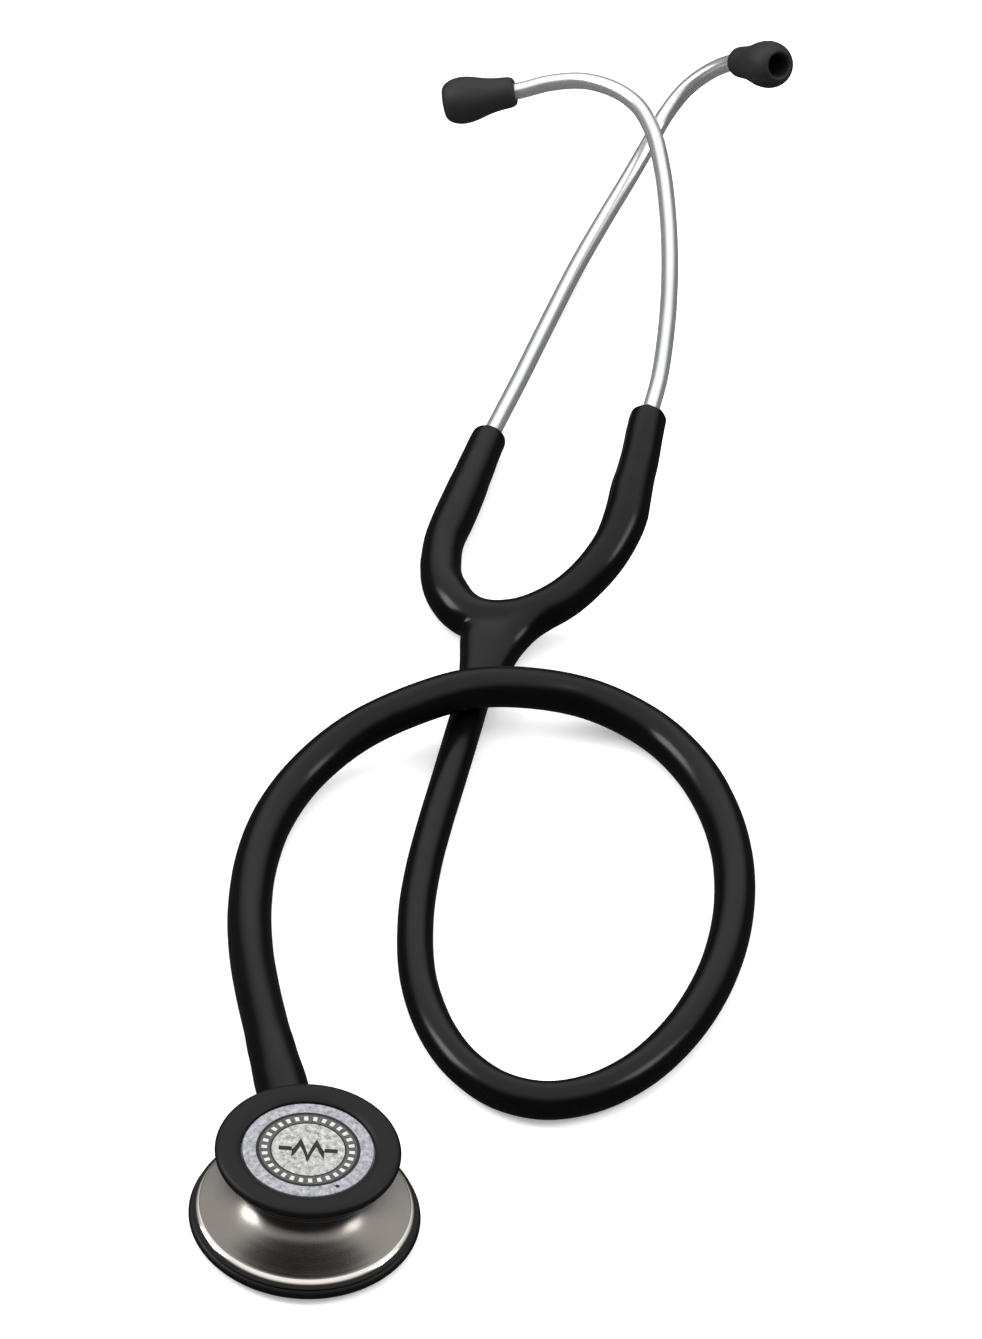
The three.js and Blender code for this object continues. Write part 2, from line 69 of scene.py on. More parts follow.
class Signal:
    """A socket of a material, which Python's operators build on."""

    def __init__(self, finish, socket):
        self.finish = finish
        self.socket = socket

    def maths(self, operation, *values):
        return self.finish.node("ShaderNodeMath", {"operation": operation}, dict(enumerate(values)))

    def __add__(self, other):
        return self.maths("ADD", self, other)

    def __radd__(self, other):
        return self.maths("ADD", other, self)

    def __sub__(self, other):
        return self.maths("SUBTRACT", self, other)

    def __rsub__(self, other):
        return self.maths("SUBTRACT", other, self)

    def __mul__(self, other):
        return self.maths("MULTIPLY", self, other)

    def __rmul__(self, other):
        return self.maths("MULTIPLY", other, self)

    def __pow__(self, other):
        return self.maths("POWER", self, other)

    def __abs__(self):
        return self.maths("ABSOLUTE", self)

    def __gt__(self, other):
        return self.maths("GREATER_THAN", self, other)

    def __lt__(self, other):
        return self.maths("LESS_THAN", self, other)


class Finish:
    """One material, with its nodes added by node() and its fixed sockets set by name."""

    def __init__(self, name, **fixed):
        self.material = bpy.data.materials.new(name)
        self.material.use_nodes = True
        self.tree = self.material.node_tree
        self.shader = self.tree.nodes["Principled BSDF"]
        for socket, value in fixed.items():
            self.shader.inputs[socket.replace("_", " ")].default_value = value

    def node(self, kind, settings=None, sockets=None, output=0):
        new = self.tree.nodes.new(kind)
        for setting, value in (settings or {}).items():
            if setting == "stops":
                ramp = new.color_ramp
                ramp.elements[0].position = value[0][0]
                ramp.elements[1].position = value[-1][0]
                for stop in value[1:-1]:
                    ramp.elements.new(stop[0])
                for element, (position, colour) in zip(ramp.elements, value):
                    element.color = (*colour, 1.0)
            else:
                setattr(new, setting, value)
        for socket, value in (sockets or {}).items():
            if isinstance(value, Signal):
                self.tree.links.new(value.socket, new.inputs[socket])
            else:
                new.inputs[socket].default_value = value
        return Signal(self, new.outputs[output])

    def place(self):
        return self.node("ShaderNodeTexCoord", output="Object")

    def noise(self, scale, detail=3.0, roughness=0.5, where=None):
        return self.node("ShaderNodeTexNoise", None, {
            "Vector": where or self.place(),
            "Scale": scale,
            "Detail": detail,
            "Roughness": roughness,
        })

    def blend(self, share, first, second):
        return self.node("ShaderNodeMix", {"data_type": "RGBA"}, {
            0: share,
            6: (*first, 1.0) if isinstance(first, tuple) else first,
            7: (*second, 1.0) if isinstance(second, tuple) else second,
        }, output=2)

    def feed(self, socket, signal):
        self.tree.links.new(signal.socket, self.shader.inputs[socket])

    def relief(self, height, strength, distance):
        self.feed("Normal", self.node("ShaderNodeBump", None, {
            "Height": height,
            "Strength": strength,
            "Distance": distance,
        }))


def black_pvc(name):
    """Cured black PVC: an even semi-gloss skin with a faint bloom and very fine pitting."""
    finish = Finish(name, Specular_IOR_Level=0.15)
    bloom = finish.noise(90.0, 4.0, 0.6)
    cloud = finish.noise(22.0, 2.0, 0.5)
    pits = finish.noise(2600.0, 2.0, 0.6)
    share = bloom * 0.6 + cloud * 0.4
    deep, bloomed = (0.0010, 0.0012, 0.0011), (0.0030, 0.0036, 0.0033)
    finish.feed("Base Color", finish.blend(share, deep, bloomed))
    finish.feed("Roughness", 0.15 + bloom * 0.10 + cloud * 0.06)
    finish.relief(pits, 0.08, 0.00005)
    return finish.material


def flowing_line(points, gaps):
    """One smooth line in metres through points in millimetres, with so many gaps in each span."""
    line = [Vector(point) / 1000.0 for point in points]
    ends = [line[0] * 2 - line[1]] + line + [line[-1] * 2 - line[-2]]
    flowing = []
    for before, start, finish, after in zip(ends, ends[1:], ends[2:], ends[3:]):
        knots = [0.0]
        for first, second in ((before, start), (start, finish), (finish, after)):
            knots.append(knots[-1] + math.sqrt((second - first).length))
        for gap in range(gaps):
            t = knots[1] + (knots[2] - knots[1]) * gap / gaps
            a1 = before.lerp(start, (t - knots[0]) / (knots[1] - knots[0]))
            a2 = start.lerp(finish, (t - knots[1]) / (knots[2] - knots[1]))
            a3 = finish.lerp(after, (t - knots[2]) / (knots[3] - knots[2]))
            b1 = a1.lerp(a2, (t - knots[0]) / (knots[2] - knots[0]))
            b2 = a2.lerp(a3, (t - knots[1]) / (knots[3] - knots[1]))
            flowing.append(b1.lerp(b2, (t - knots[1]) / (knots[2] - knots[1])))
    flowing.append(line[-1])
    return flowing


def shares_along(line):
    """How far along its line each point is, from 0 to 1."""
    travelled = [0.0]
    for first, second in zip(line, line[1:]):
        travelled.append(travelled[-1] + (second - first).length)
    return [distance / travelled[-1] for distance in travelled]


def read_off(table, share):
    """The value at a share of the way along a table of (share, value), easing between its rows."""
    for (first, low), (second, high) in zip(table, table[1:]):
        if share <= second:
            part = (share - first) / (second - first)
            return low + (high - low) * part * part * (3 - 2 * part)
    return table[-1][1]


def round_rod(name, line, radii, ring):
    """A round rod along a line in metres, from a table of (share of the length, radius in mm)."""
    bpy.ops.object.select_all(action="DESELECT")
    bpy.ops.curve.primitive_nurbs_path_add()
    rod = bpy.context.object
    rod.name = name
    curve = rod.data
    curve.splines.clear()
    spline = curve.splines.new("POLY")
    spline.points.add(len(line) - 1)
    for point, place, share in zip(spline.points, line, shares_along(line)):
        point.co = (*place, 1.0)
        point.radius = read_off(radii, share)
    curve.twist_mode = "MINIMUM"
    curve.bevel_depth = 0.001
    curve.bevel_resolution = ring
    curve.use_fill_caps = True
    bpy.ops.object.convert(target="MESH")
    rod = bpy.context.object
    bpy.ops.object.mode_set(mode="EDIT")
    bpy.ops.mesh.select_all(action="SELECT")
    bpy.ops.mesh.remove_doubles(threshold=1e-6)
    bpy.ops.mesh.normals_make_consistent(inside=False)
    bpy.ops.object.mode_set(mode="OBJECT")
    return rod


def keep_modifier(kind, name, **settings):
    """Adds a modifier to the active piece and applies it."""
    bpy.ops.object.modifier_add(type=kind)
    modifier = bpy.context.object.modifiers[-1]
    modifier.name = name
    for setting, value in settings.items():
        setattr(modifier, setting, value)
    bpy.ops.object.modifier_apply(modifier=modifier.name)


def painted(piece, material):
    """Gives a piece its one material."""
    piece.data.materials.clear()
    piece.data.materials.append(material)
    return piece


tubing_line = flowing_line(TUBING_ROUTE, 9)
tubing = round_rod("tubing_hose", tubing_line, TUBING_RADII, ring=14)
keep_modifier("BEVEL", "cut_ends", width=0.0006, segments=3, limit_method="ANGLE",
              angle_limit=math.radians(60))
bpy.ops.object.shade_smooth_by_angle(angle=math.radians(50))
painted(tubing, black_pvc("tubing_pvc"))
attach(tubing, "yoke_and_tubing")
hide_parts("tubing")

# ---------------------------------------------------------------------------
# Yoke. A black PVC moulding over a steel leaf spring: a neck, a rounded
# crotch and two soft arms. The arms flex where they leave the crotch, and
# the moulding is parted there into the crotch and the two arms.

CROTCH = [(22.1, 178.8, 4.5), (25.0, 176.7, 4.6), (29.2, 176.0, 4.9), (35.2, 176.1, 6.4)]
LEFT_EDGE = [
    (25.8, 152.7, 4.0), (26.2, 158.2, 4.1), (26.3, 162.6, 4.2), (26.0, 169.0, 4.4), (25.2, 175.6, 4.5),
]
RIGHT_EDGE = [
    (25.8, 152.7, 4.0), (27.6, 158.2, 4.1), (29.5, 162.6, 4.4), (32.2, 169.2, 5.0), (36.0, 174.6, 6.5),
    (41.4, 178.2, 8.8),
]
LEFT_WEB = LEFT_EDGE[:4] + [(25.9, 175.6, 4.6)]
RIGHT_WEB = RIGHT_EDGE[:4] + [(33.8, 174.8, 5.9)]
LEFT_ARM = [
    (19.7, 182.3, 4.5), (17.5, 188.1, 4.5), (17.0, 194.5, 4.5), (17.4, 200.9, 4.5), (18.8, 207.2, 4.5),
    (20.3, 213.6, 4.4), (21.7, 219.9, 4.3), (23.2, 226.7, 4.2), (24.7, 233.4, 4.1), (25.4, 235.9, 4.1),
]
RIGHT_ARM = [
    (41.4, 178.2, 8.8), (45.4, 181.2, 10.4), (49.8, 186.1, 12.8), (53.0, 191.7, 14.8), (55.1, 198.4, 16.7),
    (56.0, 205.7, 18.2), (57.3, 213.9, 19.6), (58.1, 221.7, 20.8), (58.7, 226.3, 21.3),
]
FORK = LEFT_ARM[::-1] + CROTCH + RIGHT_ARM
FORK_RADII = [
    (0, 3.85), (0.04, 3.95), (0.09, 4.15), (0.15, 4.45), (0.2, 4.55), (0.28, 4.35), (0.34, 4.45),
    (0.4, 4.75), (0.46, 4.7), (0.5, 4.5), (0.59, 4.45), (0.65, 4.4), (0.73, 4.5), (0.79, 4.75),
    (0.84, 4.6), (0.88, 4.3), (0.94, 4.15), (1, 4.05),
]
LEFT_EDGE_RADII = [(0, 3.85), (0.7, 3.95), (1, 3.0)]
RIGHT_EDGE_RADII = [(0, 3.85), (0.5, 3.9), (1, 4.3)]
WEB_RADII = [(0, 3.85), (0.7, 4.0), (1, 3.4)]
SKIN_VOXEL = 0.00045


def moulded_rod(points, radii):
    """A rod of the moulding's own stock, before the rods are run together."""
    return round_rod("moulding", flowing_line(points, 6), radii, ring=8)


def poured_yoke():
    """The whole moulding in one skin, before it is parted where the arms flex."""
    rods = [
        moulded_rod(FORK, FORK_RADII),
        moulded_rod(LEFT_EDGE, LEFT_EDGE_RADII),
        moulded_rod(RIGHT_EDGE, RIGHT_EDGE_RADII),
    ]
    for share in (0.2, 0.4, 0.6, 0.8):
        web = [Vector(left).lerp(Vector(right), share) for left, right in zip(LEFT_WEB, RIGHT_WEB)]
        rods.append(moulded_rod(web, WEB_RADII))
    bpy.ops.object.select_all(action="DESELECT")
    for rod in rods:
        rod.select_set(True)
    bpy.context.view_layer.objects.active = rods[0]
    bpy.ops.object.join()
    keep_modifier("REMESH", "one_skin", mode="VOXEL", voxel_size=SKIN_VOXEL, use_smooth_shade=True)
    keep_modifier("SMOOTH", "soften", factor=0.5, iterations=26)
    return bpy.context.object


def take_up(piece):
    """Selects one piece and nothing else, for the operators that follow."""
    bpy.ops.object.select_all(action="DESELECT")
    piece.select_set(True)
    bpy.context.view_layer.objects.active = piece


def parted(source, name, cuts):
    """A copy of the moulding with closed ends, kept on the near side of each (point, direction)."""
    piece = source.copy()
    piece.data = source.data.copy()
    piece.name = name
    bpy.context.scene.collection.objects.link(piece)
    take_up(piece)
    bpy.ops.object.mode_set(mode="EDIT")
    for point, direction in cuts:
        bpy.ops.mesh.select_all(action="SELECT")
        bpy.ops.mesh.bisect(plane_co=Vector(point) / 1000.0, plane_no=direction, use_fill=True,
                            clear_outer=True)
    bpy.ops.object.mode_set(mode="OBJECT")
    bpy.ops.object.shade_smooth_by_angle(angle=math.radians(50))
    return piece


# Each arm has two points on its own line, in millimetres, and is parted from the crotch at the first.
LEFT_FLEX, LEFT_FLEXED = Vector((20.4, 180.2, 4.5)), Vector((17.2, 192.5, 4.5))
RIGHT_FLEX, RIGHT_FLEXED = Vector((40.0, 177.0, 8.2)), Vector((48.2, 184.2, 11.8))
left_way = Vector((17.6, 188.4, 4.5)) - LEFT_FLEX
right_way = Vector((44.6, 180.4, 10.1)) - RIGHT_FLEX
yoke_pvc = black_pvc("yoke_pvc")
moulding = poured_yoke()

yoke = parted(moulding, "yoke_crotch", [(LEFT_FLEX, left_way), (RIGHT_FLEX, right_way)])
painted(yoke, yoke_pvc)
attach(yoke, "yoke_and_tubing")
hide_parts("yoke_body")

left_arm = parted(moulding, "left_arm", [((32.0, 190.0, 5.0), (1, 0, 0)), (LEFT_FLEX, -left_way)])
painted(left_arm, yoke_pvc)
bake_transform(left_arm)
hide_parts("yoke_arm_left")

right_arm = parted(moulding, "right_arm", [((34.0, 190.0, 5.0), (-1, 0, 0)), (RIGHT_FLEX, -right_way)])
painted(right_arm, yoke_pvc)
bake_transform(right_arm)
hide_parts("yoke_arm_right")

bpy.data.objects.remove(moulding)


def turned_steel(name, colour, roughness, grain):
    """Bright machined steel with fine tool marks."""
    finish = Finish(name, Metallic=1.0)
    marks = finish.noise(grain, 3.0, 0.6)
    smears = finish.noise(140.0, 3.0, 0.5)
    finish.feed("Base Color", finish.blend(smears, tuple(0.9 * part for part in colour), colour))
    finish.feed("Roughness", roughness + marks * 0.08 + smears * 0.06)
    finish.relief(marks, 0.05, 0.00002)
    return finish.material


spring_steel = turned_steel("spring_steel", (0.48, 0.49, 0.50), 0.24, 3000.0)
painted(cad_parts["yoke_spring"], spring_steel)

# ---------------------------------------------------------------------------
# Ear tubes. Two thin-walled aluminium tubes, bent and polished, each pushed
# into its arm. They cross near the top, with the right one over the left.

TUBE_RADIUS = 1.85
LEFT_TUBE = LEFT_ARM[6:9] + [
    (26.9, 241.6, 3.9), (30.8, 256.0, 3.4), (36.2, 276.9, 2.8), (41.7, 296.6, 2.8), (47.1, 312.3, 3.9),
    (51.4, 323.2, 5.6), (55.5, 332.5, 8.6), (59.2, 339.6, 12.6), (63.4, 343.8, 16.8), (68.5, 344.8, 21.4),
    (73.6, 342.8, 25.9), (77.9, 337.6, 30.0),
]
RIGHT_TUBE = RIGHT_ARM[5:8] + [
    (59.2, 229.0, 21.5), (60.5, 238.0, 22.0), (61.5, 256.0, 21.7), (61.6, 271.8, 21.0), (61.1, 285.8, 20.7),
    (60.2, 297.7, 20.6), (58.8, 309.6, 20.7), (56.2, 322.7, 20.8), (52.4, 331.9, 20.5), (47.1, 337.8, 19.8),
    (40.2, 341.9, 18.2), (33.0, 343.2, 15.9), (26.4, 342.9, 13.4), (16.9, 342.5, 10.8),
]


def polished_aluminium(name):
    """Drawn aluminium, polished along the tube, with faint handling marks."""
    finish = Finish(name, Metallic=0.78)
    marks = finish.noise(900.0, 4.0, 0.7)
    smears = finish.noise(60.0, 3.0, 0.5)
    finish.feed("Base Color", finish.blend(smears, (0.54, 0.55, 0.565), (0.66, 0.67, 0.685)))
    finish.feed("Roughness", 0.17 + smears * 0.08 + marks * 0.05)
    finish.relief(marks, 0.03, 0.00002)
    return finish.material


def ear_tube(name, points):
    tube = round_rod(name, flowing_line(points, 10), [(0, TUBE_RADIUS), (1, TUBE_RADIUS)], ring=12)
    bpy.ops.object.shade_smooth_by_angle(angle=math.radians(50))
    return tube


tube_aluminium = polished_aluminium("tube_aluminium")
for side, points in (("left", LEFT_TUBE), ("right", RIGHT_TUBE)):
    tube = painted(ear_tube(side + "_tube", points), tube_aluminium)
    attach(tube, side + "_ear")
    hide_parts("ear_tube_" + side)

# ---------------------------------------------------------------------------
# Ear tips. Soft dark silicone mushrooms with a wide mouth, pushed over the
# ridge at the end of each ear tube.

LEFT_TIP = (Vector((73.6, 342.8, 25.9)), Vector((82.8, 331.7, 34.5)))
RIGHT_TIP = (Vector((26.4, 342.9, 13.4)), Vector((10.1, 342.2, 8.9)))
TIP_LENGTH = 16.8


def turned(name, outline, steps=96):
    """An outline of (radius, height) in millimetres, spun about the upright axis through the origin."""
    bpy.ops.object.select_all(action="DESELECT")
    bpy.ops.mesh.primitive_plane_add(size=0.001, location=(0, 0, 0))
    piece = bpy.context.object
    piece.name = name
    bpy.ops.object.mode_set(mode="EDIT")
    bpy.ops.mesh.select_all(action="SELECT")
    bpy.ops.mesh.merge(type="CENTER")
    places = [Vector((radius, 0.0, height)) / 1000.0 for radius, height in outline]
    bpy.ops.transform.translate(value=places[0])
    for first, second in zip(places, places[1:]):
        bpy.ops.mesh.extrude_vertices_move(TRANSFORM_OT_translate={"value": second - first})
    bpy.ops.mesh.select_all(action="SELECT")
    bpy.ops.mesh.spin(steps=steps, angle=2 * math.pi, center=(0, 0, 0), axis=(0, 0, 1))
    bpy.ops.mesh.select_all(action="SELECT")
    bpy.ops.mesh.remove_doubles(threshold=2e-6)
    bpy.ops.mesh.normals_make_consistent(inside=False)
    bpy.ops.object.mode_set(mode="OBJECT")
    return piece


def rounded_outline(corners, gaps=5):
    """An outline of (radius, height), made smooth through its corners."""
    line = flowing_line([(radius, 0.0, height) for radius, height in corners], gaps)
    return [(1000.0 * place.x, 1000.0 * place.z) for place in line]


def stand_along(piece, base, end):
    """Turns a piece that stands at the origin to point from base to end, and settles it there."""
    take_up(piece)
    piece.rotation_mode = "QUATERNION"
    piece.rotation_quaternion = (end - base).to_track_quat("Z", "Y")
    piece.location = base / 1000.0
    bpy.ops.object.transform_apply(location=True, rotation=True, scale=True)
    piece.rotation_mode = "XYZ"
    return piece


def tip_silicone(name):
    """Soft matte silicone with a fine dusty grain."""
    finish = Finish(name, Specular_IOR_Level=0.35)
    dust = finish.noise(260.0, 4.0, 0.7)
    grain = finish.noise(1900.0, 2.0, 0.6)
    clean, dusty = (0.0060, 0.0063, 0.0070), (0.0120, 0.0126, 0.0140)
    finish.feed("Base Color", finish.blend(dust, clean, dusty))
    finish.feed("Roughness", 0.58 + dust * 0.14)
    finish.relief(grain, 0.14, 0.00006)
    return finish.material


silicone = tip_silicone("tip_silicone")
TIP_OUTSIDE = [
    (2.1, 0.95), (2.4, 0.7), (2.9, 0.9), (3.3, 1.5), (3.5, 2.6), (3.65, 4.4), (3.95, 6.4), (4.45, 8.4),
    (4.95, 10.3), (5.2, 12.0), (5.15, 13.6), (4.75, 15.1), (4.0, 16.3), (3.2, TIP_LENGTH), (2.75, 16.6),
]
TIP_INSIDE = [
    (2.55, 16.2), (2.4, 14.8), (2.3, 12.0), (2.1, 10.8), (1.95, 4.0), (1.95, 1.5), (2.1, 0.95),
]
for side, (base, end) in (("left", LEFT_TIP), ("right", RIGHT_TIP)):
    tip = turned(side + "_ear_tip", rounded_outline(TIP_OUTSIDE + TIP_INSIDE, 4), 72)
    way = (end - base).normalized()
    stand_along(tip, end - way * TIP_LENGTH, end)
    bpy.ops.object.shade_smooth_by_angle(angle=math.radians(60))
    painted(tip, silicone)
    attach(tip, side + "_tip")
    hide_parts("ear_tip_" + side)

# ---------------------------------------------------------------------------
# Stem. A plated turned piece: its collar shows between the chestpiece and
# the hose, its barbed tail is inside the hose, and its two seals, retaining
# ring and detent track are inside the chestpiece.

STEM_FROM = Vector((0.0, 0.0, 10.8))
STEM_TURN = math.radians(13.3)
STEM_WAY = Vector((-math.sin(STEM_TURN), math.cos(STEM_TURN), 0.0))
STEM_OUTLINE = [
    (1.4, -4.6), (2.8, -4.6), (3.0, -4.4), (3.0, -3.5), (2.3, -3.5), (2.3, -2.3), (3.0, -2.3), (3.0, 2.3),
    (2.3, 2.3), (2.3, 3.5), (3.0, 3.5), (3.0, 4.0), (2.4, 4.3), (2.4, 6.1), (3.0, 6.4), (3.0, 7.2),
    (2.2, 7.2), (2.2, 8.2), (3.0, 8.2), (3.0, 15.3), (3.5, 15.6), (3.6, 15.9), (3.6, 16.9), (3.3, 17.3),
    (3.0, 17.4), (3.0, 18.4), (2.6, 18.8), (2.6, 21.0), (3.1, 21.3), (2.6, 23.4), (2.6, 25.0), (3.1, 25.3),
    (2.6, 27.4), (2.6, 29.0), (3.1, 29.3), (2.6, 31.4), (2.6, 34.4), (2.1, 35.0), (1.4, 35.0), (1.4, -4.6),
]
stem = turned("stem_turning", STEM_OUTLINE, 64)
keep_modifier("BEVEL", "broken_edges", width=0.00008, segments=2, limit_method="ANGLE",
              angle_limit=math.radians(28))
stand_along(stem, STEM_FROM, STEM_FROM + STEM_WAY)
bpy.ops.object.shade_smooth_by_angle(angle=math.radians(35))
painted(stem, turned_steel("stem_plating", (0.70, 0.70, 0.71), 0.14, 2200.0))
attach(stem, "yoke_and_tubing")
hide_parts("stem")


def seal_rubber(name):
    """Moulded black seal rubber."""
    finish = Finish(name, Specular_IOR_Level=0.4)
    grain = finish.noise(1500.0, 3.0, 0.6)
    finish.feed("Base Color", finish.blend(grain, (0.009, 0.009, 0.0095), (0.016, 0.016, 0.017)))
    finish.feed("Roughness", 0.5 + grain * 0.15)
    return finish.material


seal = seal_rubber("seal_rubber")
for place, distance in (("inner", -2.9), ("outer", 2.9)):
    angles = [turn * math.pi / 8 for turn in range(17)]
    section = [(2.8 + 0.24 * math.cos(angle), 0.33 * math.sin(angle)) for angle in angles]
    ring = turned("seal_" + place, section, 64)
    stand_along(ring, STEM_FROM + STEM_WAY * distance, STEM_FROM + STEM_WAY * (distance + 1))
    bpy.ops.object.shade_smooth_by_angle(angle=math.radians(60))
    painted(ring, seal)
    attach(ring, "yoke_and_tubing")
    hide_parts("stem_seal_" + place)

for hidden in ("stem_retaining_ring", "detent_ball", "detent_spring", "detent_set_screw"):
    painted(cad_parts[hidden], spring_steel)

# ---------------------------------------------------------------------------
# Chestpiece body. One solid stainless turning with a wide side, a waist and
# a small side, and a boss that takes the stem. It is satin, with a bright
# polished lip above the large rim.

BODY_OUTSIDE = [(22.15, 3.5), (22.25, 3.75), (22.1, 4.2), (21.6, 4.75), (21.0, 5.1), (20.4, 5.25)]
BODY_UNDERSIDE = [
    (1.3, 4.6), (6.0, 4.4), (12.0, 3.4), (17.6, 1.9), (18.9, 1.6), (20.3, 1.6), (20.3, 2.1), (19.7, 2.2),
    (19.7, 3.3), (21.6, 3.3), (21.9, 3.5),
]
BODY_FLARE = [
    (20.15, 5.3), (17.6, 5.95), (15.2, 6.8), (13.1, 7.9), (11.6, 9.25), (10.8, 10.7), (10.6, 11.9),
    (10.95, 13.0), (11.8, 14.0), (13.0, 14.8), (14.6, 15.55), (16.0, 16.1), (16.55, 16.5), (16.65, 16.85),
    (16.5, 17.15),
]
BODY_SEAT = [
    (16.2, 17.2), (14.5, 17.2), (14.5, 17.8), (15.0, 17.9), (15.0, 18.3), (13.7, 18.3), (10.0, 17.0),
    (5.0, 15.9), (1.3, 15.6), (1.3, 4.6),
]
BOSS_OUTLINE = [
    (3.3, -5.0), (4.0, -5.0), (4.0, 2.0), (5.0, 4.0), (5.0, 12.6), (4.6, 13.0), (3.3, 13.0), (3.3, -5.0),
]
LIP_REACH = 0.0209
LIP_TOP = 0.0056


def satin_stainless(name):
    """Lathe-turned stainless: fine rings round the axis, a soft satin haze and a polished lip."""
    finish = Finish(name, Metallic=1.0)
    place = finish.place()
    x, y, z = (finish.node("ShaderNodeSeparateXYZ", None, {0: place}, output=axis) for axis in range(3))
    reach = (x * x + y * y) ** 0.5
    rings = finish.node("ShaderNodeCombineXYZ", None, {0: reach * 6.0, 1: z * 6.0, 2: 0.0})
    marks = finish.noise(700.0, 3.0, 0.7, rings)
    haze = finish.noise(70.0, 4.0, 0.55)
    lip = (reach > LIP_REACH) * (z < LIP_TOP)
    satin = finish.blend(haze, (0.115, 0.105, 0.094), (0.185, 0.171, 0.155))
    finish.feed("Base Color", finish.blend(lip, satin, (0.46, 0.44, 0.41)))
    finish.feed("Roughness", (0.20 + marks * 0.07 + haze * 0.07) * (1 - lip * 0.55))
    finish.relief(marks, 0.05, 0.00003)
    return finish.material


body_outline = BODY_UNDERSIDE + BODY_OUTSIDE + rounded_outline(BODY_FLARE, 5) + BODY_SEAT
body = turned("chestpiece_turning", body_outline, 144)
keep_modifier("BEVEL", "broken_edges", width=0.00012, segments=2, limit_method="ANGLE",
              angle_limit=math.radians(30))
boss = turned("chestpiece_boss", BOSS_OUTLINE, 64)
keep_modifier("BEVEL", "broken_edges", width=0.0002, segments=2, limit_method="ANGLE",
              angle_limit=math.radians(30))
stand_along(boss, STEM_FROM, STEM_FROM + STEM_WAY)
stainless = satin_stainless("chestpiece_steel")
for part in (body, boss):
    take_up(part)
    bpy.ops.object.shade_smooth_by_angle(angle=math.radians(32))
    painted(part, stainless)
    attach(part, "chestpiece")
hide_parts("chestpiece_body")

# ---------------------------------------------------------------------------
# Rims. Two soft black rings that snap over the chestpiece's edges: a slim
# one round the large side and a thick rounded one round the small side.


def rim_rubber(name):
    """Soft moulded black rubber with a fine grain and a faint cool bloom."""
    finish = Finish(name, Specular_IOR_Level=0.16)
    bloom = finish.noise(80.0, 4.0, 0.6)
    grain = finish.noise(2200.0, 2.0, 0.6)
    clean, bloomed = (0.0022, 0.0022, 0.0027), (0.0050, 0.0050, 0.0060)
    finish.feed("Base Color", finish.blend(bloom, clean, bloomed))
    finish.feed("Roughness", 0.42 + bloom * 0.12)
    finish.relief(grain, 0.10, 0.00005)
    return finish.material


rim_black = rim_rubber("rim_rubber")
# Each rim has a rounded outside and a groove inside that grips the edge of the turning.
LARGE_RIM_OUTSIDE = [
    (18.4, 0.2), (18.7, 0.02), (20.0, 0.0), (20.8, 0.1), (21.6, 0.45), (22.35, 1.2), (22.85, 2.0),
    (22.75, 2.7), (22.35, 3.15), (21.8, 3.3), (20.4, 3.2), (20.0, 3.0), (20.0, 2.5),
]
LARGE_RIM_GROOVE = [(20.6, 2.3), (20.6, 0.5), (18.7, 0.45), (18.4, 0.2)]
SMALL_RIM_OUTSIDE = [
    (13.15, 19.65), (13.2, 20.05), (13.6, 20.4), (14.5, 20.75), (16.0, 20.9), (17.3, 20.8), (18.0, 20.4),
    (18.3, 19.75), (18.15, 19.0), (17.8, 18.45), (17.25, 17.95), (16.75, 17.5), (16.4, 17.35),
]
SMALL_RIM_GROOVE = [
    (14.85, 17.35), (14.85, 17.6), (15.3, 17.75), (15.3, 19.45), (13.3, 19.5), (13.15, 19.65),
]
for name, outside, groove, node in (
    ("large_rim_ring", LARGE_RIM_OUTSIDE, LARGE_RIM_GROOVE, "large_rim"),
    ("small_rim_ring", SMALL_RIM_OUTSIDE, SMALL_RIM_GROOVE, "small_rim"),
):
    rim = turned(name, rounded_outline(outside, 4) + groove, 144)
    bpy.ops.object.shade_smooth_by_angle(angle=math.radians(40))
    painted(rim, rim_black)
    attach(rim, "chestpiece")
    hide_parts(node)

# ---------------------------------------------------------------------------
# Diaphragms. Stepped stiff discs whose edges float under the rims. The large
# one is dark and glossy. The small one carries a silver print: a plain band,
# a dark ring of pips and a plain pulse line.


def dark_diaphragm(name):
    """A dark glassy disc with faint moulded rings."""
    finish = Finish(name, Specular_IOR_Level=0.5)
    place = finish.place()
    x, y = (finish.node("ShaderNodeSeparateXYZ", None, {0: place}, output=axis) for axis in range(2))
    reach = (x * x + y * y) ** 0.5
    weave = finish.noise(500.0, 3.0, 0.6)
    rings = finish.node("ShaderNodeMath", {"operation": "SINE"}, {0: reach * 9000.0})
    finish.feed("Base Color", finish.blend(weave, (0.030, 0.030, 0.032), (0.048, 0.048, 0.052)))
    finish.feed("Roughness", 0.22 + weave * 0.08)
    finish.relief(rings * 0.2 + weave, 0.08, 0.00004)
    return finish.material


# The print's sizes, in millimetres from the middle of the disc.
OUTER_RING = 9.95
PIP_RING = 8.6
PIPS = 30.0
BEAT_REACH = 3.2
PULSE_REACH = 5.8


